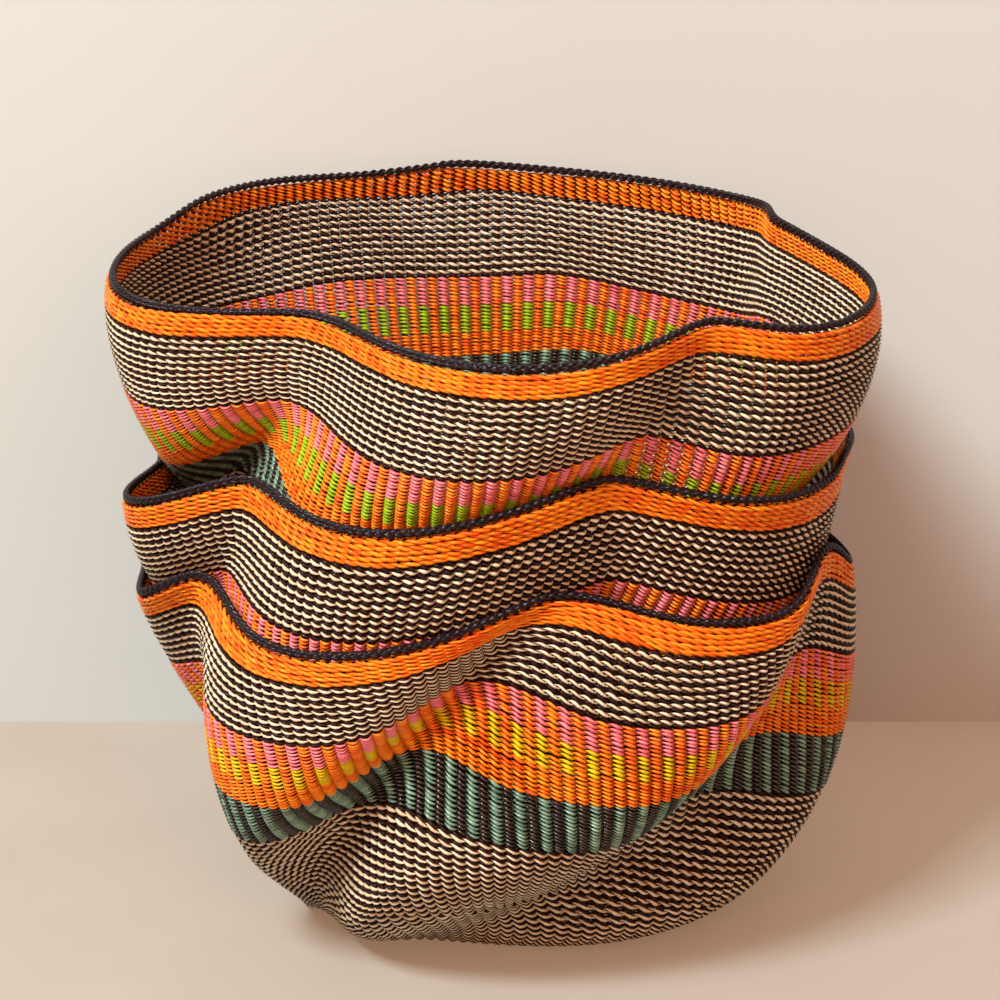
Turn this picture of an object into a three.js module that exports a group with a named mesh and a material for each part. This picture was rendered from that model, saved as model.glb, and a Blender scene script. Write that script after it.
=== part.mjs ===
import * as THREE from "three";

// Three wavy baskets of twined straw, each standing in the one below it.
// Millimetres, +Z up, -Y is the side that faces the viewer.
// The origin is on the floor, at the middle of the bottom basket's base.

// driving dimensions
const wallThickness = 5;
const rimBraidDiameter = 7;
const seamGap = 0.3; // between one colour band and the next
const rimGap = 0.5; // between the rim braid and the border
const seatGap = 0.3; // between a basket and the one that it stands in

const bottomBaseRadius = 93.5;
const bottomRimRadius = 206;
const bottomHeight = 185;
const bottomLeanX = -9;
const bottomLeanY = -8;

const middleBaseRadius = 101.0;
const middleRimRadius = 216;
const middleHeight = 173;
const middleLeanX = 1;
const middleLeanY = -26;
const middleShiftX = -5;
const middleShiftY = 3;

const topBaseRadius = 112.5;
const topRimRadius = 201;
const topHeight = 170;
const topLeanX = 1;
const topLeanY = -13;
const topShiftX = 7;
const topShiftY = 16;

// colour bands, measured down the wall from the rim braid
const borderHeight = 12;
const plainOrangeHeight = 13;
const tealRibsHeight = 27;
const bottomStripesHeight = 32;
const middleStripesHeight = 38;
const topStripesHeight = 45;
const bottomPinkHeight = 13;
const nestedPinkHeight = 15;
const bottomYellowHeight = 12;
const nestedLimeHeight = 15;
const bottomLowerStripesHeight = 60; // the rest of its stripes turn under to the base

// how finely the woven wall is faceted
const stepsRound = 56;
const braidSides = 6;

const fullTurn = 360; // degrees

// Each fold is a valley in the wall. Its angles are in degrees: azimuth 0 is the front, positive to the right.
// The valley starts at the rim and has turned by turn at the base, with bow more half way down.
// Depths are shares of the rim's radius, and rises are shares of the basket's height.
// The first of each pair holds at the rim and the second half way down. Both ease out towards the base.
// A sharpness of 2 gives a round valley and less gives a crease, and skew widens its right side by that share.
const bottomFolds = [
  {
    azimuth: -47, turn: -12, bow: -14, widths: [8.5, 11], sharpness: 2.1, skew: 0.15,
    depthShares: [0.12, 0.14], riseShares: [0.105, -0.02],
  },
  {
    azimuth: 19, turn: -75, bow: -5, widths: [9.5, 8.5], sharpness: 2.2, skew: 0.05,
    depthShares: [0.1, 0.125], riseShares: [0.045, 0.1],
  },
  {
    azimuth: 66, turn: -84, bow: 13, widths: [7, 13.5], sharpness: 2.2, skew: 0,
    depthShares: [0.03, 0.15], riseShares: [0.115, 0.095],
  },
  {
    azimuth: 108, turn: -57, bow: 11, widths: [21, 17], sharpness: 2, skew: 0,
    depthShares: [0.1, 0.1], riseShares: [-0.01, -0.02],
  },
  {
    azimuth: -88, turn: -7, bow: 2, widths: [21, 26], sharpness: 2.3, skew: 0.05,
    depthShares: [0.165, 0.32], riseShares: [-0.03, -0.03],
  },
  {
    azimuth: 8, turn: -23, bow: -5, widths: [18, 12], sharpness: 2, skew: 0.3,
    depthShares: [0.11, -0.02], riseShares: [0.075, 0.12],
  },
];
const middleFolds = [
  {
    azimuth: -47, turn: -91, bow: 21, widths: [13, 8], sharpness: 1.8, skew: 0.25,
    depthShares: [0.22, 0.09], riseShares: [0.125, 0.1],
  },
  {
    azimuth: 24, turn: -24, bow: 12, widths: [20, 20], sharpness: 1.7, skew: -0.35,
    depthShares: [0.265, 0.255], riseShares: [0.13, 0.13],
  },
  {
    azimuth: 79, turn: 26, bow: 16, widths: [38, 33], sharpness: 1.7, skew: -0.35,
    depthShares: [0.14, 0.12], riseShares: [0.08, -0.03],
  },
  {
    azimuth: 158, turn: -51, bow: -1, widths: [24, 19], sharpness: 2, skew: 0,
    depthShares: [-0.01, 0.115], riseShares: [-0.015, 0.05],
  },
  {
    azimuth: -97, turn: 30, bow: -10, widths: [21, 18], sharpness: 1.6, skew: 0,
    depthShares: [0.205, 0.185], riseShares: [-0.03, 0.04],
  },
];
const topFolds = [
  {
    azimuth: -43, turn: -70, bow: 25, widths: [19, 10], sharpness: 2.1, skew: 0.2,
    depthShares: [0.335, 0.175], riseShares: [0.025, 0.13],
  },
  {
    azimuth: 36, turn: -45, bow: 3, widths: [10, 8.5], sharpness: 1.7, skew: -0.15,
    depthShares: [0.12, 0.12], riseShares: [0.07, 0.11],
  },
  {
    azimuth: 114, turn: -66, bow: 24, widths: [15, 18], sharpness: 2.3, skew: -0.35,
    depthShares: [0.145, 0.15], riseShares: [0.03, 0.13],
  },
  {
    azimuth: 180, turn: 44, bow: 32, widths: [58, 70], sharpness: 2, skew: 0,
    depthShares: [0.04, 0], riseShares: [0.125, 0.085],
  },
  {
    azimuth: -124, turn: 16, bow: -38, widths: [13, 10.5], sharpness: 2.4, skew: -0.35,
    depthShares: [0.02, 0.02], riseShares: [0.05, 0],
  },
  {
    azimuth: 192, turn: -12, bow: -21, widths: [8, 9.5], sharpness: 1.6, skew: -0.1,
    depthShares: [0.055, 0.005], riseShares: [0.035, 0.05],
  },
];

// The control points of the wall's profile, as shares of the base radius, the height and the rim radius:
// how far the base reaches out and lifts, and how far the rim swings out and how deep its curve starts.
const bottomProfileShares = { baseReach: 0.945, baseLift: 0, rimReach: 0.035, rimDrop: 0.59 };
const middleProfileShares = { baseReach: 0.32, baseLift: 0.155, rimReach: -0.095, rimDrop: 0.515 };
const topProfileShares = { baseReach: 0.095, baseLift: 0.07, rimReach: 0.08, rimDrop: 0.45 };

// below this share of the wall the folds ease out
const foldEaseShare = 0.45;

const orange = "#ee8526";
const pink = "#e27c6c";
const lime = "#c9982c";
const yellow = "#dd9a2a";
const teal = "#43675c";
const stripes = "#9a8766";
const braid = "#2e2028";

const bottomBands = [
  { name: "orange_border", height: borderHeight, color: orange, rows: 1 },
  { name: "upper_stripes", height: bottomStripesHeight, color: stripes, rows: 2 },
  { name: "pink_ribs", height: bottomPinkHeight, color: pink, rows: 1 },
  { name: "yellow_ribs", height: bottomYellowHeight, color: yellow, rows: 1 },
  { name: "plain_orange", height: plainOrangeHeight, color: orange, rows: 1 },
  { name: "teal_ribs", height: tealRibsHeight, color: teal, rows: 1 },
  { name: "lower_stripes", height: bottomLowerStripesHeight, color: stripes, rows: 3 },
];

// the nested baskets have taller ribs, and lime where the bottom one has yellow
function nestedBands(stripesHeight) {
  return [
    { name: "orange_border", height: borderHeight, color: orange, rows: 1 },
    { name: "upper_stripes", height: stripesHeight, color: stripes, rows: 2 },
    { name: "pink_ribs", height: nestedPinkHeight, color: pink, rows: 1 },
    { name: "lime_ribs", height: nestedLimeHeight, color: lime, rows: 1 },
    { name: "plain_orange", height: plainOrangeHeight, color: orange, rows: 1 },
    { name: "teal_ribs", height: tealRibsHeight, color: teal, rows: 1 },
  ];
}

// a value that eases in from zero at the base and runs straight through halfWay to atRim
function fromBase(up, [atRim, halfWay]) {
  const straight = halfWay + (atRim - halfWay) * (2 * up - 1);
  return straight * THREE.MathUtils.smoothstep(up, 0, foldEaseShare);
}

// the shorter way round between two azimuths
function azimuthBetween(from, to) {
  return THREE.MathUtils.euclideanModulo(to - from + fullTurn / 2, fullTurn) - fullTurn / 2;
}

// a point on the woven face: up runs from 0 at the base's edge to 1 at the rim
function facePoint(basket, azimuth, up) {
  const onProfile = basket.profile.getPointAt(up);
  let radius = onProfile.x;
  let height = onProfile.y;
  for (const fold of basket.folds) {
    const down = 1 - up;
    const valley = fold.azimuth + fold.turn * down + 4 * fold.bow * up * down;
    const width = THREE.MathUtils.lerp(...fold.widths, Math.min(1, 2 * down));
    const across = azimuthBetween(valley, azimuth);
    const shares = Math.abs(across) / (width * (1 + fold.skew * Math.sign(across)));
    const strength = Math.exp(-(shares ** fold.sharpness) / 2);
    radius -= basket.rimRadius * fromBase(up, fold.depthShares) * strength;
    height += basket.height * fromBase(up, fold.riseShares) * strength;
  }
  const angle = THREE.MathUtils.degToRad(azimuth);
  const onAxis = new THREE.Vector3(basket.leanX, basket.leanY, basket.height);
  onAxis.multiplyScalar(height / basket.height);
  return onAxis.add(new THREE.Vector3(radius * Math.sin(angle), -radius * Math.cos(angle), 0));
}

// the directions out of the wall and up along it
// At the base's edge the wall runs flat, and out of it is straight down.
function faceDirections(basket, azimuth, up) {
  const azimuthStep = 0.5;
  const upStepShare = 0.002;
  const above = facePoint(basket, azimuth, Math.min(1, up + upStepShare));
  const below = facePoint(basket, azimuth, Math.max(0, up - upStepShare));
  const right = facePoint(basket, azimuth + azimuthStep, up);
  const left = facePoint(basket, azimuth - azimuthStep, up);
  const upward = above.sub(below).normalize();
  const outward = up > 0 ? right.sub(left).cross(upward).normalize() : new THREE.Vector3(0, 0, -1);
  return { outward, upward };
}

function wallPoint(basket, azimuth, up, out) {
  return facePoint(basket, azimuth, up).addScaledVector(faceDirections(basket, azimuth, up).outward, out);
}

// joins one closed section for each step round into a solid ring
// A side in otherWay has its facets split along the other diagonal.
function ringGeometry(sections, otherWay = []) {
  const corners = sections[0].length;
  const positions = sections.flat().flatMap((point) => point.toArray());
  const index = [];
  for (let step = 0; step < sections.length; step += 1) {
    const here = step * corners;
    const next = ((step + 1) % sections.length) * corners;
    for (let corner = 0; corner < corners; corner += 1) {
      const after = (corner + 1) % corners;
      if (otherWay.includes(corner)) {
        index.push(here + corner, here + after, next + corner);
        index.push(here + after, next + after, next + corner);
      } else {
        index.push(here + corner, here + after, next + after);
        index.push(here + corner, next + after, next + corner);
      }
    }
  }
  const geometry = new THREE.BufferGeometry();
  geometry.setAttribute("position", new THREE.Float32BufferAttribute(positions, 3));
  geometry.setIndex(index);
  return geometry;
}

// calls makeSection with each azimuth round the basket
function sectionsRound(makeSection) {
  return Array.from({ length: stepsRound }, (_, step) => makeSection(fullTurn * step / stepsRound));
}

// one colour band of the wall, from the share upTop down to upBottom
// Its outer facets are split along the folds, which turn left on their way down, and its top like its bottom,
// so that the ends of two bands lie parallel.
function bandGeometry(basket, upTop, upBottom, rows, outset) {
  const ups = Array.from({ length: rows + 1 }, (_, row) => (
    THREE.MathUtils.lerp(upTop, upBottom, row / rows)
  ));
  const sections = sectionsRound((azimuth) => [
    ...ups.map((up) => wallPoint(basket, azimuth, up, outset)),
    ...ups.toReversed().map((up) => wallPoint(basket, azimuth, up, -wallThickness)),
  ]);
  const outerSides = Array.from({ length: rows }, (_, row) => row);
  const topSide = 2 * rows + 1;
  return ringGeometry(sections, [...outerSides, topSide]);
}

// the braid that closes the rim, a round cord that lies on the wall's top edge
function braidGeometry(basket, upEdge, outset) {
  const cornerRadius = (rimBraidDiameter / 2 + outset) / Math.cos(Math.PI / braidSides);
  return ringGeometry(sectionsRound((azimuth) => {
    const { outward, upward } = faceDirections(basket, azimuth, upEdge);
    const middle = wallPoint(basket, azimuth, upEdge, -wallThickness / 2);
    middle.addScaledVector(upward, rimGap + rimBraidDiameter / 2);
    return Array.from({ length: braidSides }, (_, side) => {
      const angle = 2 * Math.PI * (side + 0.5) / braidSides;
      return middle.clone()
        .addScaledVector(upward, cornerRadius * Math.cos(angle))
        .addScaledVector(outward, cornerRadius * Math.sin(angle));
    });
  }));
}

// the flat round base inside the lowest band
function baseGeometry(basket) {
  const edge = basket.baseRadius - seamGap;
  const outline = [[0, 0], [edge, 0], [edge, wallThickness], [0, wallThickness]];
  const points = outline.map(([x, y]) => new THREE.Vector2(x, y));
  return new THREE.LatheGeometry(points, stepsRound).rotateX(Math.PI / 2);
}

// adds the wall's profile to a basket's sizes
function makeBasket(sizes) {
  const { baseRadius, rimRadius, height, profileShares } = sizes;
  const profile = new THREE.CubicBezierCurve(
    new THREE.Vector2(baseRadius, 0),
    new THREE.Vector2(baseRadius * (1 + profileShares.baseReach), height * profileShares.baseLift),
    new THREE.Vector2(rimRadius * (1 + profileShares.rimReach), height * (1 - profileShares.rimDrop)),
    new THREE.Vector2(rimRadius, height),
  );
  return { ...sizes, profile };
}

// every piece of a basket, its woven face moved out by outset
function basketPieces(basket, outset = 0) {
  const wallLength = basket.profile.getLength();
  let down = rimBraidDiameter / 2 + seamGap;
  const braidedRim = braidGeometry(basket, 1 - down / wallLength, outset);
  const pieces = [{ name: "rim_braid", color: braid, geometry: braidedRim }];
  for (const { name, height, color, rows } of basket.bands) {
    const upTop = 1 - down / wallLength;
    const upBottom = 1 - (down + height - seamGap) / wallLength;
    pieces.push({ name, color, geometry: bandGeometry(basket, upTop, upBottom, rows, outset) });
    down += height;
  }
  const { name, rows } = basket.lowestBand;
  const lowest = bandGeometry(basket, 1 - down / wallLength, 0, rows, outset);
  pieces.push({ name, color: stripes, geometry: lowest });
  pieces.push({ name: "base", color: stripes, geometry: baseGeometry(basket) });
  return pieces;
}

// the triangles of a set of pieces, each with its plan limits and the plane that it lies in
function planTriangles(pieces, shiftX, shiftY) {
  const shift = new THREE.Vector3(shiftX, shiftY, 0);
  const triangles = [];
  for (const { geometry } of pieces) {
    const position = geometry.attributes.position;
    const index = geometry.index;
    for (let start = 0; start < index.count; start += 3) {
      const corners = [0, 1, 2].map((corner) => (
        new THREE.Vector3().fromBufferAttribute(position, index.getX(start + corner)).add(shift)
      ));
      const normal = new THREE.Triangle(...corners).getNormal(new THREE.Vector3());
      const upright = 1e-4;
      if (Math.abs(normal.z) > upright) {
        const xs = corners.map((corner) => corner.x);
        const ys = corners.map((corner) => corner.y);
        const limits = [Math.min(...xs), Math.max(...xs), Math.min(...ys), Math.max(...ys)];
        triangles.push({ corners, normal, limits });
      }
    }
  }
  return triangles;
}

function heightAt({ corners, normal }, x, y) {
  return corners[0].z - (normal.x * (x - corners[0].x) + normal.y * (y - corners[0].y)) / normal.z;
}

// the part of one triangle's plan that lies in another's
function planOverlap(first, second) {
  const turn = Math.sign(second.normal.z);
  let outline = first.corners.map(({ x, y }) => [x, y]);
  for (let side = 0; side < 3; side += 1) {
    const from = second.corners[side];
    const to = second.corners[(side + 1) % 3];
    const inside = ([x, y]) => turn * ((to.x - from.x) * (y - from.y) - (to.y - from.y) * (x - from.x));
    const kept = [];
    for (let corner = 0; corner < outline.length; corner += 1) {
      const here = outline[corner];
      const next = outline[(corner + 1) % outline.length];
      const a = inside(here);
      const b = inside(next);
      if (a >= 0) kept.push(here);
      if (a * b < 0) {
        const share = a / (a - b);
        kept.push([here[0] + (next[0] - here[0]) * share, here[1] + (next[1] - here[1]) * share]);
      }
    }
    outline = kept;
  }
  return outline;
}

// how high the upper basket stands over the lower one, coming straight down until it meets it
function standHeight(upper, lower, shiftX, shiftY) {
  const falling = planTriangles(basketPieces(upper, seatGap), shiftX, shiftY);
  const still = planTriangles(basketPieces(lower), 0, 0);
  let highest = 0;
  for (const above of falling) {
    const [left, right, near, far] = above.limits;
    for (const below of still) {
      const limits = below.limits;
      if (limits[0] < right && limits[1] > left && limits[2] < far && limits[3] > near) {
        for (const [x, y] of planOverlap(below, above)) {
          highest = Math.max(highest, heightAt(below, x, y) - heightAt(above, x, y));
        }
      }
    }
  }
  return highest;
}

const bottom = makeBasket({
  name: "bottom",
  baseRadius: bottomBaseRadius,
  rimRadius: bottomRimRadius,
  height: bottomHeight,
  leanX: bottomLeanX,
  leanY: bottomLeanY,
  profileShares: bottomProfileShares,
  folds: bottomFolds,
  bands: bottomBands,
  lowestBand: { name: "foot_stripes", rows: 4 },
});
const middle = makeBasket({
  name: "middle",
  baseRadius: middleBaseRadius,
  rimRadius: middleRimRadius,
  height: middleHeight,
  leanX: middleLeanX,
  leanY: middleLeanY,
  profileShares: middleProfileShares,
  folds: middleFolds,
  bands: nestedBands(middleStripesHeight),
  lowestBand: { name: "lower_stripes", rows: 2 },
});
const top = makeBasket({
  name: "top",
  baseRadius: topBaseRadius,
  rimRadius: topRimRadius,
  height: topHeight,
  leanX: topLeanX,
  leanY: topLeanY,
  profileShares: topProfileShares,
  folds: topFolds,
  bands: nestedBands(topStripesHeight),
  lowestBand: { name: "lower_stripes", rows: 2 },
});

function basketGroup(basket) {
  const group = new THREE.Group();
  for (const { name, color, geometry } of basketPieces(basket)) {
    geometry.computeVertexNormals();
    const material = new THREE.MeshStandardMaterial({ color, roughness: 0.6, metalness: 0 });
    const mesh = new THREE.Mesh(geometry, material);
    mesh.name = `${basket.name}_${name}`;
    group.add(mesh);
  }
  return group;
}

// each basket's group stands in the group of the one below it
const nest = basketGroup(bottom);
const middleGroup = basketGroup(middle);
middleGroup.position.set(middleShiftX, middleShiftY, standHeight(middle, bottom, middleShiftX, middleShiftY));
nest.add(middleGroup);
const topGroup = basketGroup(top);
topGroup.position.set(topShiftX, topShiftY, standHeight(top, middle, topShiftX, topShiftY));
middleGroup.add(topGroup);

export default nest;
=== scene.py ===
import math

import bpy
import numpy as np
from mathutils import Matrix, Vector


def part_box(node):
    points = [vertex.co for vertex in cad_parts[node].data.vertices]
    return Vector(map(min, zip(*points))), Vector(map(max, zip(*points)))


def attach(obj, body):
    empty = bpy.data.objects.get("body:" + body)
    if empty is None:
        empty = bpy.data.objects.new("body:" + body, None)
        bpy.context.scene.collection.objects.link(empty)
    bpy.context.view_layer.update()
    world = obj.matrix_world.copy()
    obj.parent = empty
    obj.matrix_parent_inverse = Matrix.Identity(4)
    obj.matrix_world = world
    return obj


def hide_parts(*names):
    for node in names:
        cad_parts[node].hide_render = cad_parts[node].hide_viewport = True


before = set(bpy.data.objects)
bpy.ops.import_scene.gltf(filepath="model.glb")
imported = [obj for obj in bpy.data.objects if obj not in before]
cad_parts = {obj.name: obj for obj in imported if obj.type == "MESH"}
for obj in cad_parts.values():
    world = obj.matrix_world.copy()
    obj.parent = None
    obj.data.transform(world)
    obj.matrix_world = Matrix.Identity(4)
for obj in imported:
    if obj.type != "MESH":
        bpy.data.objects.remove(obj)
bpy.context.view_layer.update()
print("frame loaded,", len(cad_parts), "nodes")

random = np.random.default_rng(11)  # the same draws in every run

# the woven wall, in metres and degrees: azimuth 0 is the front, and it grows to the right
wall = {
    "thickness": 0.005,
    "rimBraid": 0.007,  # how thick the braid on the rim is
    "seam": 0.0003,  # between the rim braid and the first row
    "foldEase": 0.45,  # below this share of the wall the folds ease out
    "profileSteps": 800,
    "roundSteps": 720,
}

# a fold is a valley in the wall: each pair holds at the rim and half way down
# turn is how far the valley goes round on its way to the base, and bow how far it bends aside half way
# rimRadius and height are those of the wall without folds, which depths and rises are shares of
baskets = {
    "bottom": {
        "baseRadius": 0.0935, "rimRadius": 0.206, "height": 0.185, "lean": (-0.009, -0.008),
        "profile": {"baseReach": 0.945, "baseLift": 0, "rimReach": 0.035, "rimDrop": 0.59},
        "folds": [
            {"azimuth": -47, "turn": -12, "bow": -14, "widths": (8.5, 11), "sharpness": 2.1, "skew": 0.15,
             "depths": (0.12, 0.14), "rises": (0.105, -0.02)},
            {"azimuth": 19, "turn": -75, "bow": -5, "widths": (9.5, 8.5), "sharpness": 2.2, "skew": 0.05,
             "depths": (0.1, 0.125), "rises": (0.045, 0.1)},
            {"azimuth": 66, "turn": -84, "bow": 13, "widths": (7, 13.5), "sharpness": 2.2, "skew": 0,
             "depths": (0.03, 0.15), "rises": (0.115, 0.095)},
            {"azimuth": 108, "turn": -57, "bow": 11, "widths": (21, 17), "sharpness": 2, "skew": 0,
             "depths": (0.1, 0.1), "rises": (-0.01, -0.02)},
            {"azimuth": -88, "turn": -7, "bow": 2, "widths": (21, 26), "sharpness": 2.3, "skew": 0.05,
             "depths": (0.165, 0.32), "rises": (-0.03, -0.03)},
            {"azimuth": 8, "turn": -23, "bow": -5, "widths": (18, 12), "sharpness": 2, "skew": 0.3,
             "depths": (0.11, -0.02), "rises": (0.075, 0.12)},
        ],
    },
    "middle": {
        "baseRadius": 0.101, "rimRadius": 0.216, "height": 0.173, "lean": (0.001, -0.026),
        "profile": {"baseReach": 0.32, "baseLift": 0.155, "rimReach": -0.095, "rimDrop": 0.515},
        "folds": [
            {"azimuth": -47, "turn": -91, "bow": 21, "widths": (13, 8), "sharpness": 1.8, "skew": 0.25,
             "depths": (0.22, 0.09), "rises": (0.125, 0.1)},
            {"azimuth": 24, "turn": -24, "bow": 12, "widths": (20, 20), "sharpness": 1.7, "skew": -0.35,
             "depths": (0.265, 0.255), "rises": (0.13, 0.13)},
            {"azimuth": 79, "turn": 26, "bow": 16, "widths": (38, 33), "sharpness": 1.7, "skew": -0.35,
             "depths": (0.14, 0.12), "rises": (0.08, -0.03)},
            {"azimuth": 158, "turn": -51, "bow": -1, "widths": (24, 19), "sharpness": 2, "skew": 0,
             "depths": (-0.01, 0.115), "rises": (-0.015, 0.05)},
            {"azimuth": -97, "turn": 30, "bow": -10, "widths": (21, 18), "sharpness": 1.6, "skew": 0,
             "depths": (0.205, 0.185), "rises": (-0.03, 0.04)},
        ],
    },
    "top": {
        "baseRadius": 0.1125, "rimRadius": 0.201, "height": 0.17, "lean": (0.001, -0.013),
        "profile": {"baseReach": 0.095, "baseLift": 0.07, "rimReach": 0.08, "rimDrop": 0.45},
        "folds": [
            {"azimuth": -43, "turn": -70, "bow": 25, "widths": (19, 10), "sharpness": 2.1, "skew": 0.2,
             "depths": (0.335, 0.175), "rises": (0.025, 0.13)},
            {"azimuth": 36, "turn": -45, "bow": 3, "widths": (10, 8.5), "sharpness": 1.7, "skew": -0.15,
             "depths": (0.12, 0.12), "rises": (0.07, 0.11)},
            {"azimuth": 114, "turn": -66, "bow": 24, "widths": (15, 18), "sharpness": 2.3, "skew": -0.35,
             "depths": (0.145, 0.15), "rises": (0.03, 0.13)},
            {"azimuth": 180, "turn": 44, "bow": 32, "widths": (58, 70), "sharpness": 2, "skew": 0,
             "depths": (0.04, 0), "rises": (0.125, 0.085)},
            {"azimuth": -124, "turn": 16, "bow": -38, "widths": (13, 10.5), "sharpness": 2.4, "skew": -0.35,
             "depths": (0.02, 0.02), "rises": (0.05, 0)},
            {"azimuth": 192, "turn": -12, "bow": -21, "widths": (8, 9.5), "sharpness": 1.6, "skew": -0.1,
             "depths": (0.055, 0.005), "rises": (0.035, 0.05)},
        ],
    },
}


def measureRun(points):
    # the way along a line of points up to each of them
    return np.concatenate([[0], np.cumsum(np.linalg.norm(np.diff(points, axis=0), axis=1))])


def measureProfile(basket):
    # the wall's profile is one cubic curve, kept here with its length measured along it
    shares = basket["profile"]
    foot, rim, height = basket["baseRadius"], basket["rimRadius"], basket["height"]
    corners = np.array([
        (foot, 0),
        (foot * (1 + shares["baseReach"]), height * shares["baseLift"]),
        (rim * (1 + shares["rimReach"]), height * (1 - shares["rimDrop"])),
        (rim, height),
    ])
    t = np.linspace(0, 1, wall["profileSteps"] + 1)[:, None]
    curve = ((1 - t) ** 3 * corners[0] + 3 * (1 - t) ** 2 * t * corners[1]
             + 3 * (1 - t) * t ** 2 * corners[2] + t ** 3 * corners[3])
    run = measureRun(curve)
    basket["curve"], basket["run"], basket["length"] = curve, run / run[-1], run[-1]


def easeIn(up, pair):
    # a fold's value at this level, from its pair, eased out towards the base
    ease = np.clip(up / wall["foldEase"], 0, 1)
    return (pair[1] + (pair[0] - pair[1]) * (2 * up - 1)) * ease * ease * (3 - 2 * ease)


def facePoints(basket, azimuth, up):
    # points on the outer face: up is 1 at the rim and 0 at the base's edge, and below 0 runs under the base
    azimuth, up = np.broadcast_arrays(np.asarray(azimuth, float), np.asarray(up, float))
    radius = np.interp(up, basket["run"], basket["curve"][:, 0]) + np.minimum(up, 0) * basket["length"]
    height = np.interp(up, basket["run"], basket["curve"][:, 1])
    down = 1 - up
    for fold in basket["folds"]:
        valley = fold["azimuth"] + fold["turn"] * down + 4 * fold["bow"] * up * down
        width = fold["widths"][0] + (fold["widths"][1] - fold["widths"][0]) * np.minimum(2 * down, 1)
        across = (azimuth - valley + 180) % 360 - 180
        across = np.abs(across) / (width * (1 + fold["skew"] * np.sign(across)))
        strength = np.exp(-across ** fold["sharpness"] / 2)
        radius = radius - basket["rimRadius"] * easeIn(up, fold["depths"]) * strength
        height = height + basket["height"] * easeIn(up, fold["rises"]) * strength
    angle = np.radians(azimuth)
    leanX, leanY = basket["lean"]
    share = height / basket["height"]
    x = leanX * share + radius * np.sin(angle)
    y = leanY * share - radius * np.cos(angle)
    return np.stack([x, y, height], -1)


def unit(vectors, shortest=1e-12):
    return vectors / np.maximum(np.linalg.norm(vectors, axis=-1, keepdims=True), shortest)


def wallAt(basket, azimuth, up):
    # the middle of the wall's thickness, the ways out of it and up along it, and metres for each unit of up
    turnStep, upStep = 0.4, 0.002
    above, below = facePoints(basket, azimuth, up + upStep), facePoints(basket, azimuth, up - upStep)
    right, left = facePoints(basket, azimuth + turnStep, up), facePoints(basket, azimuth - turnStep, up)
    climb = (above - below) / (2 * upStep)
    upward = unit(climb)
    outward = unit(np.cross(right - left, upward))
    middle = facePoints(basket, azimuth, up) - outward * wall["thickness"] / 2
    # a fold that turns under lies on the floor
    middle[..., 2] = np.maximum(middle[..., 2], wall["thickness"] / 2)
    return middle, outward, upward, np.linalg.norm(climb, axis=-1)


def roundAt(basket, up, count):
    # azimuths that part the wall at this level into equal lengths, from the back round to the back
    table = np.linspace(-180, 180, wall["roundSteps"] + 1)
    run = measureRun(facePoints(basket, table, up))
    return np.interp(np.arange(count) / count * run[-1], run, table), run[-1]


for basketName, basket in baskets.items():
    measureProfile(basket)
    low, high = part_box(basketName + "_base")
    basket["origin"] = np.array([(low.x + high.x) / 2, (low.y + high.y) / 2, low.z])
    print(basketName, "wall", round(basket["length"], 4), "m, standing at", basket["origin"].round(4))

# strands are tubes with four sides, collected in a list for each piece and made into one mesh
tube = {
    "sides": 4,
    "strips": 110,  # rows that a piece's strands are laid out in on its map
    "stripFill": 0.84,
    "mapEdge": 0.002,  # left free at both ends of a row
    "endPatch": 0.0004,  # size on the map of the face that closes a strand
}


def addTube(strands, middles, sideA, sideB, tone, pitch, dye=0.0, closed=True):
    # sideA and sideB are half axes of the cross-section; tone and dye ride along for the material
    steps = len(middles)
    strands.append((middles, sideA, sideB, np.broadcast_to(tone, steps), dye, closed, pitch))


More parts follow.
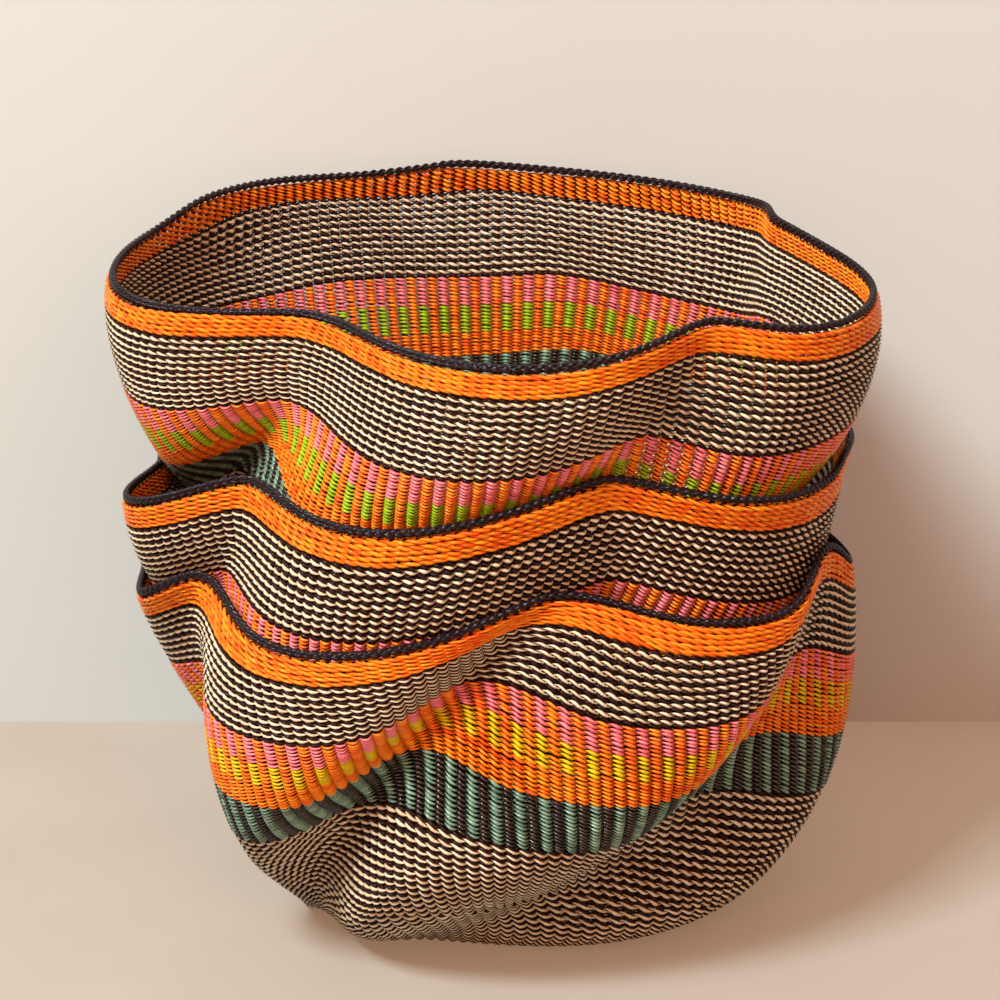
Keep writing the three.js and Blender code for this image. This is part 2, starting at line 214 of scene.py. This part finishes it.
def makePiece(name, strands, material, basketName, replaced):
    sides, edge = tube["sides"], tube["mapEdge"]
    around = 2 * math.pi * np.arange(sides) / sides
    perTube = max(1, round(tube["strips"] / len(strands)))
    stripCount = perTube * len(strands)
    points, faces, strandUv, mapUv, tones, dyes, first = [], [], [], [], [], [], 0
    for number, (middles, sideA, sideB, tone, dye, closed, pitch) in enumerate(strands):
        steps = len(middles)
        corners = (middles[:, None] + sideA[:, None] * np.cos(around)[None, :, None]
                   + sideB[:, None] * np.sin(around)[None, :, None])
        points.append(corners.reshape(-1, 3))
        spans = steps if closed else steps - 1
        step, side = np.divmod(np.arange(spans * sides), sides)
        nextStep, nextSide = (step + 1) % steps, (side + 1) % sides
        faces.append(first + np.stack([step * sides + side, nextStep * sides + side,
                                       nextStep * sides + nextSide, step * sides + nextSide], 1))
        along = np.stack([step, step + 1, step + 1, step], 1) * pitch
        turn = np.stack([side, side, side + 1, side + 1], 1) / sides
        strandUv.append(np.stack([along, turn], -1))
        stripSteps = math.ceil(spans / perTube)
        strip = number * perTube + step // stripSteps
        onStrip = (step % stripSteps)[:, None] + np.array([0, 1, 1, 0])
        mapUv.append(np.stack([edge + (1 - 2 * edge) * onStrip / stripSteps,
                               (strip[:, None] + 0.5 + tube["stripFill"] * (turn - 0.5)) / stripCount], -1))
        if not closed:  # an end that is hidden in the work is closed with one face
            last = (steps - 1) * sides
            faces.append(first + np.array([[3, 2, 1, 0], [last, last + 1, last + 2, last + 3]]))
            strandUv.append(np.zeros((2, 4, 2)))
            patch = np.array([[0, 0], [1, 0], [1, 1], [0, 1]]) * tube["endPatch"]
            patch = patch + np.array([edge, (number * perTube + 0.5) / stripCount])
            mapUv.append(np.broadcast_to(patch, (2, 4, 2)))
        tones.append(np.repeat(tone, sides) - 0.5)
        dyes.append(np.full(steps * sides, dye))
        first += steps * sides
    points, faces = np.concatenate(points), np.concatenate(faces)
    points[:, 2] = np.maximum(points[:, 2], 0)  # the straw lies flat on what the basket stands on
    points += baskets[basketName]["origin"]
    mesh = bpy.data.meshes.new(name)
    mesh.vertices.add(len(points))
    mesh.vertices.foreach_set("co", points.astype(np.float32).ravel())
    mesh.loops.add(faces.size)
    mesh.loops.foreach_set("vertex_index", faces.astype(np.int32).ravel())
    mesh.polygons.add(len(faces))
    mesh.polygons.foreach_set("loop_start", np.arange(0, faces.size, 4, dtype=np.int32))
    mesh.polygons.foreach_set("use_smooth", np.ones(len(faces), bool))
    mesh.update(calc_edges=True)
    for mapName, corners in (("OFBake", mapUv), ("strand", strandUv)):
        layer = mesh.uv_layers.new(name=mapName)
        layer.data.foreach_set("uv", np.concatenate(corners).astype(np.float32).ravel())
    for valueName, values in (("tone", tones), ("dye", dyes)):
        attribute = mesh.attributes.new(valueName, "FLOAT", "POINT")
        attribute.data.foreach_set("value", np.concatenate(values).astype(np.float32))
    mesh.materials.append(material)
    piece = bpy.data.objects.new(name, mesh)
    bpy.context.scene.collection.objects.link(piece)
    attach(piece, basketName + "_basket")
    if replaced:
        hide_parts(replaced)


# straw materials
def addNode(tree, kind, place, **settings):
    node = tree.nodes.new(kind)
    node.location = place
    for key, value in settings.items():
        setattr(node, key, value)
    return node


def addMath(tree, operation, place, *entries, clamp=False):
    # an entry is a number or the socket that feeds it
    node = addNode(tree, "ShaderNodeMath", place, operation=operation, use_clamp=clamp)
    for socket, entry in zip(node.inputs, entries):
        if isinstance(entry, bpy.types.NodeSocket):
            tree.links.new(entry, socket)
        else:
            socket.default_value = entry
    return node.outputs[0]


# split straw: fine grain along the strand, slow changes of dye, and a tone of its own for each stitch
fibre = {
    "streaksPerMetre": 110,  # each some 9 mm long
    "streaksRound": 9,  # in one turn of the section
    "toneShift": 53,  # a stitch of another tone has other streaks
    "grainDetail": 3,
    "grainRoughness": 0.6,
    "grainRange": (0.33, 0.67),  # of the noise, spread over the whole grain
    "changesPerMetre": 22,  # of dye, each over some 45 mm
    "dyeChange": 0.45,  # how much of the shade they bring
    "deepen": 0.06,  # shade that all straw has
    "roughening": 0.22,  # by the grain
    "bumpStrength": 0.5,
    "bumpDistance": 0.00025,
}


def makeFibreGroup():
    tree = bpy.data.node_groups.new("strawFibre", "ShaderNodeTree")
    for socketName, kind, value in (("Straw", "NodeSocketColor", (0.8, 0.6, 0.4, 1)),
                                    ("Shade", "NodeSocketColor", (0.4, 0.25, 0.1, 1)),
                                    ("Tone Strength", "NodeSocketFloat", 0.5),
                                    ("Grain Strength", "NodeSocketFloat", 0.5),
                                    ("Smoothness", "NodeSocketFloat", 0.5)):
        socket = tree.interface.new_socket(socketName, in_out="INPUT", socket_type=kind)
        socket.default_value = value
    for socketName, kind in (("Color", "NodeSocketColor"), ("Roughness", "NodeSocketFloat"),
                             ("Height", "NodeSocketFloat")):
        tree.interface.new_socket(socketName, in_out="OUTPUT", socket_type=kind)
    link = tree.links.new
    entry = addNode(tree, "NodeGroupInput", (-1100, 0))
    leave = addNode(tree, "NodeGroupOutput", (900, 0))
    place = addNode(tree, "ShaderNodeUVMap", (-1300, -200), uv_map="strand")
    tone = addNode(tree, "ShaderNodeAttribute", (-1300, 200), attribute_name="tone")
    split = addNode(tree, "ShaderNodeSeparateXYZ", (-1100, -200))
    link(place.outputs["UV"], split.inputs[0])
    along, turn = split.outputs["X"], split.outputs["Y"]

    grainPlace = addNode(tree, "ShaderNodeCombineXYZ", (-700, -200))
    link(addMath(tree, "MULTIPLY", (-900, -100), along, fibre["streaksPerMetre"]), grainPlace.inputs["X"])
    link(addMath(tree, "MULTIPLY", (-900, -260), turn, fibre["streaksRound"]), grainPlace.inputs["Y"])
    link(addMath(tree, "MULTIPLY", (-900, -420), tone.outputs["Fac"], fibre["toneShift"]),
         grainPlace.inputs["Z"])
    grain = addNode(tree, "ShaderNodeTexNoise", (-500, -200))
    grain.inputs["Scale"].default_value = 1
    grain.inputs["Detail"].default_value = fibre["grainDetail"]
    grain.inputs["Roughness"].default_value = fibre["grainRoughness"]
    link(grainPlace.outputs[0], grain.inputs["Vector"])
    spread = addNode(tree, "ShaderNodeMapRange", (-300, -200))
    spread.inputs["From Min"].default_value, spread.inputs["From Max"].default_value = fibre["grainRange"]
    link(grain.outputs["Fac"], spread.inputs["Value"])
    grainShare = spread.outputs["Result"]

    changes = addNode(tree, "ShaderNodeTexNoise", (-500, 100), noise_dimensions="1D")
    changes.inputs["Scale"].default_value = 1
    changes.inputs["Detail"].default_value = 1
    link(addMath(tree, "MULTIPLY", (-900, 100), along, fibre["changesPerMetre"]), changes.inputs["W"])

    # how much of the shade shows: 0 is the straw's full colour
    shade = addMath(tree, "MULTIPLY_ADD", (-300, 300), tone.outputs["Fac"], entry.outputs["Tone Strength"],
                    fibre["deepen"])
    shade = addMath(tree, "MULTIPLY_ADD", (-100, 200), grainShare, entry.outputs["Grain Strength"], shade)
    shade = addMath(tree, "MULTIPLY_ADD", (100, 200), changes.outputs["Fac"], fibre["dyeChange"], shade,
                    clamp=True)
    colour = addNode(tree, "ShaderNodeMix", (500, 200), data_type="RGBA")
    link(shade, colour.inputs["Factor"])
    link(entry.outputs["Straw"], colour.inputs[6])
    link(entry.outputs["Shade"], colour.inputs[7])
    link(colour.outputs[2], leave.inputs["Color"])
    link(addMath(tree, "MULTIPLY_ADD", (500, -100), grainShare, fibre["roughening"],
                 entry.outputs["Smoothness"]), leave.inputs["Roughness"])
    link(grainShare, leave.inputs["Height"])
    return tree


fibreGroup = makeFibreGroup()

# colours as they are dyed; shade is the same straw where the dye lies deep or is dirty
# tone and grain say how much stitches and streaks differ, and sheen how strongly the straw's skin shines
straws = {
    "cream": {"straw": (0.9, 0.74, 0.53), "shade": (0.62, 0.38, 0.2), "tone": 0.7, "grain": 0.3,
              "smooth": 0.28, "sheen": 0.6, "sheenTint": (1, 0.92, 0.75)},
    "dark": {"straw": (0.03, 0.009, 0.009), "shade": (0.013, 0.0025, 0.0015), "tone": 0.6, "grain": 0.5,
             "smooth": 0.18, "sheen": 0.16, "sheenTint": (1, 0.8, 0.8)},
    "braid": {"straw": (0.02, 0.009, 0.012), "shade": (0.008, 0.002, 0.002), "tone": 0.6, "grain": 0.5,
              "smooth": 0.16, "sheen": 0.3, "sheenTint": (0.9, 0.9, 1)},
    "orange": {"straw": (0.97, 0.29, 0.012), "shade": (0.8, 0.075, 0.004), "tone": 1.2, "grain": 0.4,
               "smooth": 0.2, "sheen": 0.6, "sheenTint": (1, 0.75, 0.3)},
    "pink": {"straw": (0.94, 0.28, 0.31), "shade": (0.74, 0.1, 0.11), "tone": 0.8, "grain": 0.3,
             "smooth": 0.26, "sheen": 0.55, "sheenTint": (1, 0.8, 0.7)},
    "lime": {"straw": (0.42, 0.6, 0.01), "shade": (0.2, 0.29, 0.004), "tone": 0.5, "grain": 0.3,
             "smooth": 0.26, "sheen": 0.55, "sheenTint": (1, 1, 0.5)},
    "yellow": {"straw": (0.86, 0.62, 0.008), "shade": (0.55, 0.3, 0.004), "tone": 0.5, "grain": 0.3,
               "smooth": 0.26, "sheen": 0.55, "sheenTint": (1, 0.9, 0.4)},
    "teal": {"straw": (0.28, 0.43, 0.31), "shade": (0.055, 0.11, 0.075), "tone": 0.9, "grain": 0.35,
             "smooth": 0.22, "sheen": 0.8, "sheenTint": (0.95, 1, 0.85)},
    # core is the stakes' straw: its near-black red-brown is painted shade, standing for the deep shade in the
    # gaps between stitches
    "core": {"straw": (0.04, 0.008, 0.003), "shade": (0.012, 0.002, 0.001), "tone": 0.5, "grain": 0.4,
             "smooth": 0.6, "sheen": 0.1, "sheenTint": (1, 0.5, 0.3)},
}


def makeStraw(name, first, second=None):
    # one dye for the whole strand, or two that the strands of a row take in turn
    material = bpy.data.materials.new(name)
    material.use_nodes = True
    tree = material.node_tree
    link = tree.links.new
    shader = tree.nodes["Principled BSDF"]
    shader.inputs["Specular IOR Level"].default_value = straws[first]["sheen"]
    shader.inputs["Specular Tint"].default_value = (*straws[first]["sheenTint"], 1)
    bump = addNode(tree, "ShaderNodeBump", (-200, -300))
    bump.inputs["Strength"].default_value = fibre["bumpStrength"]
    bump.inputs["Distance"].default_value = fibre["bumpDistance"]
    link(bump.outputs["Normal"], shader.inputs["Normal"])
    fibres = []
    for row, dyeName in enumerate([first, second] if second else [first]):
        dye = straws[dyeName]
        group = addNode(tree, "ShaderNodeGroup", (-600, 200 - 300 * row), node_tree=fibreGroup, label=dyeName)
        group.inputs["Straw"].default_value = (*dye["straw"], 1)
        group.inputs["Shade"].default_value = (*dye["shade"], 1)
        group.inputs["Tone Strength"].default_value = dye["tone"]
        group.inputs["Grain Strength"].default_value = dye["grain"]
        group.inputs["Smoothness"].default_value = dye["smooth"]
        fibres.append(group)
    if second:
        which = addNode(tree, "ShaderNodeAttribute", (-600, 450), attribute_name="dye")
        colour = addNode(tree, "ShaderNodeMix", (-300, 300), data_type="RGBA")
        rough = addNode(tree, "ShaderNodeMix", (-300, 50))
        # a mix node's entries 6 and 7 are its colours, and 2 and 3 its numbers
        for mix, inA, inB, out in ((colour, 6, 7, "Color"), (rough, 2, 3, "Roughness")):
            link(which.outputs["Fac"], mix.inputs["Factor"])
            link(fibres[0].outputs[out], mix.inputs[inA])
            link(fibres[1].outputs[out], mix.inputs[inB])
        link(colour.outputs[2], shader.inputs["Base Color"])
        link(rough.outputs[0], shader.inputs["Roughness"])
    else:
        link(fibres[0].outputs["Color"], shader.inputs["Base Color"])
        link(fibres[0].outputs["Roughness"], shader.inputs["Roughness"])
    link(fibres[0].outputs["Height"], bump.inputs["Height"])
    return material


materials = {
    "cream": makeStraw("creamStraw", "cream"),
    "dark": makeStraw("darkStraw", "dark"),
    "orange": makeStraw("orangeStraw", "orange"),
    "pink": makeStraw("pinkAndOrangeStraw", "pink", "orange"),
    "lime": makeStraw("limeAndOrangeStraw", "lime", "orange"),
    "yellow": makeStraw("yellowAndOrangeStraw", "yellow", "orange"),
    "teal": makeStraw("tealAndDarkStraw", "teal", "dark"),
    "braid": makeStraw("braidStraw", "braid"),
    # the stakes' material carries the painted shade of the gaps between stitches
    "core": makeStraw("stakePaintedShade", "core"),
}
print("straw materials made")

# twined rows
weave = {
    "samples": 4,  # points for each stake that a strand passes
    "halfDepth": 0.00095,
    "lumps": 0.16,  # unevenness of the stitches
    "wander": 0.13,  # share of the row's height by which a row strays
    "waves": 3,  # that its straying is made of
    "waveTurns": (5, 40),
    "jitter": 0.06,  # share of the row's height by which a stitch strays
    "runStitches": 24,  # worked with one straw, which has a tone of its own
    "stitchTone": 0.55,  # share of the tone that is the stitch's, the rest being the straw's
}

# swing is how far a strand's middle goes out of and into the wall, and bulge how flat it goes over a stake
# the rest are shares of the row's height: cross is how far two strands part where they cross
stitches = {
    "dark": {"swing": 0.002, "bulge": 1, "cross": 0.32, "halfHeight": 0.49, "leafEnds": 0.38},
    "cream": {"swing": 0.002, "bulge": 1, "cross": 0.32, "halfHeight": 0.49, "leafEnds": 0.28},
    "ribs": {"swing": 0.0025, "bulge": 0.7, "cross": 0.2, "halfHeight": 0.47, "leafEnds": 0.3},
    "border": {"swing": 0.002, "bulge": 1, "cross": 0.34, "halfHeight": 0.41, "leafEnds": 0.3},
}


def twineRow(strands, basket, up, upHeight, stakes, stitchName, dyes=(0, 0), over=1):
    # a strand for each dye: they take turns round the stakes, each passing over this many and behind one
    strandCount, samples = len(dyes), weave["samples"]
    shape = stitches[stitchName]
    steps = stakes * samples
    azimuth, length = roundAt(basket, up, steps)
    middle, outward, upward, climb = wallAt(basket, azimuth, up)
    rowHeight = (climb * upHeight)[:, None]
    share = over / strandCount
    waves = np.radians(azimuth)[:, None] * random.integers(*weave["waveTurns"], weave["waves"])
    waves = waves + 2 * math.pi * random.random(weave["waves"])
    stray = weave["wander"] * np.sin(waves).mean(1)[:, None]
    for number, dye in enumerate(dyes):
        passed = np.arange(steps) / samples - number
        place = (passed / strandCount + share / 2) % 1
        phase = np.where(place < share, math.pi * (place / share - 0.5),
                         math.pi * ((place - share) / (1 - share) + 0.5))
        stitch = np.floor(passed + over / 2).astype(int) % stakes
        stitchTone = random.random(stakes)
        run = weave["runStitches"]
        runTone = np.repeat(random.random(stakes // run + 1), run)[:stakes]
        runTone = np.roll(runTone, random.integers(stakes))
        tone = weave["stitchTone"] * stitchTone[stitch] + (1 - weave["stitchTone"]) * runTone[stitch]
        lump = 1 + weave["lumps"] * (2 * random.random(stakes) - 1)
        jitter = weave["jitter"] * (2 * random.random(stakes)[stitch, None] - 1)
        out = np.sign(np.cos(phase)) * np.abs(np.cos(phase)) ** shape["bulge"]
        rise = stray - shape["cross"] * np.sin(phase)[:, None] + jitter
        centre = middle + outward * shape["swing"] * out[:, None] + upward * rowHeight * rise
        leaf = shape["leafEnds"] + (1 - shape["leafEnds"]) * np.abs(np.cos(phase))
        half = shape["halfHeight"] * rowHeight * (leaf * lump[stitch])[:, None]
        addTube(strands, centre, outward * weave["halfDepth"], upward * half, tone, length / steps, dye)


# rows of each colour band, from the rim braid down; heights are along the wall, as in the CAD part
bands = {
    "bottom": [
        {"node": "orange_border", "height": 0.012, "rows": 5, "stakes": 192, "look": "border"},
        {"node": "upper_stripes", "height": 0.032, "rows": 17, "stakes": 192, "look": "stripes"},
        {"node": "pink_ribs", "height": 0.013, "rows": 7, "stakes": 192, "look": "pink"},
        {"node": "yellow_ribs", "height": 0.012, "rows": 6, "stakes": 192, "look": "yellow"},
        {"node": "plain_orange", "height": 0.013, "rows": 7, "stakes": 192, "look": "orange"},
        {"node": "teal_ribs", "height": 0.027, "rows": 14, "stakes": 192, "look": "teal"},
        {"node": "lower_stripes", "height": 0.06, "rows": 28, "stakes": 168, "look": "stripes"},
        {"node": "foot_stripes", "height": None, "rows": 30, "stakes": 120, "look": "stripes"},
    ],
    "middle": [
        {"node": "orange_border", "height": 0.012, "rows": 5, "stakes": 192, "look": "border"},
        {"node": "upper_stripes", "height": 0.038, "rows": 19, "stakes": 192, "look": "stripes"},
        {"node": "pink_ribs", "height": 0.015, "rows": 8, "stakes": 192, "look": "pink"},
        {"node": "lime_ribs", "height": 0.015, "rows": 8, "stakes": 192, "look": "lime"},
        {"node": "plain_orange", "height": 0.013, "rows": 7, "stakes": 192, "look": "orange"},
        {"node": "teal_ribs", "height": 0.027, "rows": 14, "stakes": 192, "look": "teal"},
        {"node": "lower_stripes", "height": None, "rows": 40, "stakes": 132, "look": "stripes"},
    ],
    "top": [
        {"node": "orange_border", "height": 0.012, "rows": 5, "stakes": 192, "look": "border"},
        {"node": "upper_stripes", "height": 0.045, "rows": 23, "stakes": 192, "look": "stripes"},
        {"node": "pink_ribs", "height": 0.015, "rows": 8, "stakes": 192, "look": "pink"},
        {"node": "lime_ribs", "height": 0.015, "rows": 8, "stakes": 192, "look": "lime"},
        {"node": "plain_orange", "height": 0.013, "rows": 7, "stakes": 192, "look": "orange"},
        {"node": "teal_ribs", "height": 0.027, "rows": 14, "stakes": 192, "look": "teal"},
        {"node": "lower_stripes", "height": None, "rows": 35, "stakes": 144, "look": "stripes"},
    ],
}


def weaveBand(basketName, band, upTop, upBottom):
    basket = baskets[basketName]
    node, look, stakes = basketName + "_" + band["node"], band["look"], band["stakes"]
    upHeight = (upTop - upBottom) / band["rows"]
    levels = upTop - (np.arange(band["rows"]) + 0.5) * upHeight
    if look == "stripes":
        for part, colour in enumerate(("dark", "cream")):
            strands = []
            for level in levels[part::2]:
                twineRow(strands, basket, level, upHeight, stakes, colour)
            makePiece(node + "_" + colour, strands, materials[colour], basketName, node)
        return
    strands = []
    for level in levels:
        if look == "border":
            twineRow(strands, basket, level, upHeight, stakes, "border", dyes=(0, 0, 0), over=2)
        else:
            dyes = (0, 0) if look == "orange" else (0, 1)
            twineRow(strands, basket, level, upHeight, stakes, "ribs", dyes)
    colour = "orange" if look == "border" else look
    makePiece(node + "_twined", strands, materials[colour], basketName, node)


# the stakes that the rows are worked round, seen only between the stitches, where their near-black straw is
# painted shade
stake = {
    "halfDepth": 0.0008,
    "halfWidth": 0.0016,
    "step": 0.005,
    "fewestLevels": 3,
    "fullPitch": 0.006,  # closer together than this, stakes get narrower
}


def addStakes(strands, basket, upTop, upBottom, stakes):
    steps = max(stake["fewestLevels"], round((upTop - upBottom) * basket["length"] / stake["step"]))
    tracks = []
    for level in np.linspace(upTop, upBottom, steps):
        azimuth, length = roundAt(basket, level, stakes)
        middle, outward, upward, climb = wallAt(basket, azimuth, level)
        tracks.append((middle, outward, np.cross(upward, outward), length / stakes))
    middles, outs, rights = (np.stack([track[part] for track in tracks], 1) for part in range(3))
    narrow = np.array([min(1, track[3] / stake["fullPitch"]) for track in tracks])[:, None]
    for number in range(stakes):
        addTube(strands, middles[number], outs[number] * stake["halfDepth"],
                rights[number] * stake["halfWidth"] * narrow, random.random(), stake["step"], closed=False)


# the rim: a plait round a core
rimBraid = {
    "strands": 3,
    "period": 0.0147,
    "side": 0.00115,
    "depth": 0.0009,
    "strand": 0.0012,
    "core": 0.0013,
    "samples": 12,
    "drop": 0.0008,  # the plait lies this much lower than the middle of the cord it stands for
}


def plaitRim(basketName, upEdge):
    basket = baskets[basketName]
    samples, count = rimBraid["samples"], rimBraid["strands"]
    length = roundAt(basket, upEdge, samples)[1]
    periods = round(length / rimBraid["period"])
    steps = periods * samples
    azimuth = roundAt(basket, upEdge, steps)[0]
    middle, outward, upward, climb = wallAt(basket, azimuth, upEdge)
    middle = middle + upward * (wall["seam"] + wall["rimBraid"] / 2 - rimBraid["drop"])
    turn = 2 * math.pi * np.arange(steps) / samples
    strands = []
    for number in range(count):
        phase = turn + 2 * math.pi * number / count
        centre = (middle + upward * (rimBraid["side"] * np.sin(phase))[:, None]
                  + outward * (rimBraid["depth"] * np.sin(2 * phase))[:, None])
        tone = np.repeat(random.random(periods), samples)
        addTube(strands, centre, outward * rimBraid["strand"], upward * rimBraid["strand"], tone,
                length / steps)
    addTube(strands, middle, outward * rimBraid["core"], upward * rimBraid["core"], 0.5, length / steps)
    makePiece(basketName + "_rim_plait", strands, materials["braid"], basketName,
              basketName + "_rim_braid")


# the base: rings of twining over the stakes, black and cream in turn
base = {
    "ringHeight": 0.0021,
    "smallest": 0.004,  # radius of the innermost ring
    "pitch": 0.0062,
    "stakes": (96, 72, 48, 36, 24, 12, 8),  # a ring has the count that comes nearest to the pitch
    "spokes": (60, 24),  # stakes outside the inner part of the base and in it
    "innerRadius": 0.04,
    "spokeEnds": 0.003,  # from the middle
}


def weaveBase(basketName, core):
    basket = baskets[basketName]
    radius, length = basket["baseRadius"], basket["length"]
    rings = round((radius - base["smallest"]) / base["ringHeight"])
    upHeight = (radius - base["smallest"]) / rings / length
    collected = {"dark": [], "cream": []}
    for ring in range(rings):
        level = -(ring + 0.5) * upHeight
        girth = 2 * math.pi * (radius + level * length)
        stakes = min(base["stakes"], key=lambda count: abs(math.log(girth / count / base["pitch"])))
        colour = ("dark", "cream")[ring % 2]
        twineRow(collected[colour], basket, level, upHeight, stakes, colour)
    node = basketName + "_base"
    for colour, strands in collected.items():
        makePiece(node + "_" + colour, strands, materials[colour], basketName, node)
    inner = -(radius - base["innerRadius"]) / length
    addStakes(core, basket, 0, inner, base["spokes"][0])
    addStakes(core, basket, inner, -(radius - base["spokeEnds"]) / length, base["spokes"][1])


for basketName, basket in baskets.items():
    down = wall["rimBraid"] / 2 + wall["seam"]
    plaitRim(basketName, 1 - down / basket["length"])
    core = []
    for band in bands[basketName]:
        upTop = 1 - down / basket["length"]
        down = down + band["height"] if band["height"] else basket["length"]
        upBottom = 1 - down / basket["length"]
        weaveBand(basketName, band, upTop, upBottom)
        addStakes(core, basket, upTop, upBottom, band["stakes"])
    weaveBase(basketName, core)
    makePiece(basketName + "_stakes", core, materials["core"], basketName, None)
    print(basketName, "basket woven")

# floor, wall, lights and camera
room = {"wallAway": 0.236, "half": 6.0, "roughness": 0.7, "cloudScale": 9, "cloudDetail": 6}
stages = {
    "floor": {"colour": (0.325, 0.315, 0.285), "glow": (0.25, 0.14, 0.085), "mottle": 0.78, "bump": 0.0004},
    "backdrop": {"colour": (0.55, 0.56, 0.54), "glow": (0.03, 0.004, 0), "mottle": 0.97, "bump": 0.0002},
}


def makeStage(name, corners, seeThroughBack=False):
    values = stages[name]
    mesh = bpy.data.meshes.new(name)
    mesh.from_pydata(corners, [], [(0, 1, 2, 3)])
    mesh.update()
    surface = bpy.data.objects.new(name, mesh)
    bpy.context.scene.collection.objects.link(surface)
    material = bpy.data.materials.new(name)
    material.use_nodes = True
    tree = material.node_tree
    link = tree.links.new
    shader = tree.nodes["Principled BSDF"]
    shader.inputs["Roughness"].default_value = room["roughness"]
    shader.inputs["Emission Color"].default_value = (*values["glow"], 1)
    # the glow warms the shadows for the camera alone, and lights nothing
    ray = addNode(tree, "ShaderNodeLightPath", (-300, -450))
    link(ray.outputs["Is Camera Ray"], shader.inputs["Emission Strength"])
    place = addNode(tree, "ShaderNodeTexCoord", (-900, 0))
    cloud = addNode(tree, "ShaderNodeTexNoise", (-700, 0))
    cloud.inputs["Scale"].default_value = room["cloudScale"]
    cloud.inputs["Detail"].default_value = room["cloudDetail"]
    link(place.outputs["Object"], cloud.inputs["Vector"])
    tint = addNode(tree, "ShaderNodeMix", (-300, 100), data_type="RGBA")
    tint.inputs[6].default_value = (*values["colour"], 1)
    tint.inputs[7].default_value = (*[channel * values["mottle"] for channel in values["colour"]], 1)
    link(cloud.outputs["Fac"], tint.inputs["Factor"])
    link(tint.outputs[2], shader.inputs["Base Color"])
    bump = addNode(tree, "ShaderNodeBump", (-300, -200))
    bump.inputs["Distance"].default_value = values["bump"]
    link(cloud.outputs["Fac"], bump.inputs["Height"])
    link(bump.outputs["Normal"], shader.inputs["Normal"])
    if seeThroughBack:  # so that it hides nothing from behind
        clear = addNode(tree, "ShaderNodeBsdfTransparent", (0, -200))
        which = addNode(tree, "ShaderNodeNewGeometry", (0, 300))
        pick = addNode(tree, "ShaderNodeMixShader", (300, 0))
        link(which.outputs["Backfacing"], pick.inputs[0])
        link(shader.outputs[0], pick.inputs[1])
        link(clear.outputs[0], pick.inputs[2])
        link(pick.outputs[0], tree.nodes["Material Output"].inputs["Surface"])
    mesh.materials.append(material)


half, back = room["half"], room["wallAway"]
makeStage("floor", [(-half, -half, 0), (half, -half, 0), (half, half, 0), (-half, half, 0)])
makeStage("backdrop", [(-half, back, 0), (half, back, 0), (half, back, half), (-half, back, half)],
          seeThroughBack=True)

aim = (0, 0, 0.17)
lights = {
    "key": {"place": (-1.5, -2.05, 3.0), "size": 1.0, "power": 198, "colour": (0.87, 1, 1)},
    "fill": {"place": (0.45, -3.0, 1.5), "size": 2.6, "power": 52, "colour": (1, 0.58, 0.4)},
}
for name, values in lights.items():
    lamp = bpy.data.lights.new(name, "AREA")
    lamp.size, lamp.energy, lamp.color = values["size"], values["power"], values["colour"]
    light = bpy.data.objects.new(name, lamp)
    light.location = values["place"]
    light.rotation_euler = (Vector(aim) - Vector(values["place"])).to_track_quat("-Z", "Y").to_euler()
    bpy.context.scene.collection.objects.link(light)

surround = {"colour": (1, 0.6, 0.44), "strength": 0.4}
world = bpy.data.worlds.new("room")
bpy.context.scene.world = world
world.use_nodes = True
background = world.node_tree.nodes["Background"]
background.inputs["Color"].default_value = (*surround["colour"], 1)
background.inputs["Strength"].default_value = surround["strength"]

# lens and sensor in millimetres
camera = {"aim": (0.0045, 0.0118, 0.2017), "away": 1.965, "pitch": 16.1, "lens": 135.5, "sensor": 36}
lens = bpy.data.cameras.new("camera")
lens.lens, lens.sensor_width = camera["lens"], camera["sensor"]
viewer = bpy.data.objects.new("camera", lens)
pitch = math.radians(camera["pitch"])
viewer.location = (camera["aim"][0], camera["aim"][1] - camera["away"] * math.cos(pitch),
                   camera["aim"][2] + camera["away"] * math.sin(pitch))
viewer.rotation_euler = (math.pi / 2 - pitch, 0, 0)
bpy.context.scene.collection.objects.link(viewer)
bpy.context.scene.camera = viewer
bpy.context.scene.view_settings.view_transform = "Standard"
print("camera and lights set")
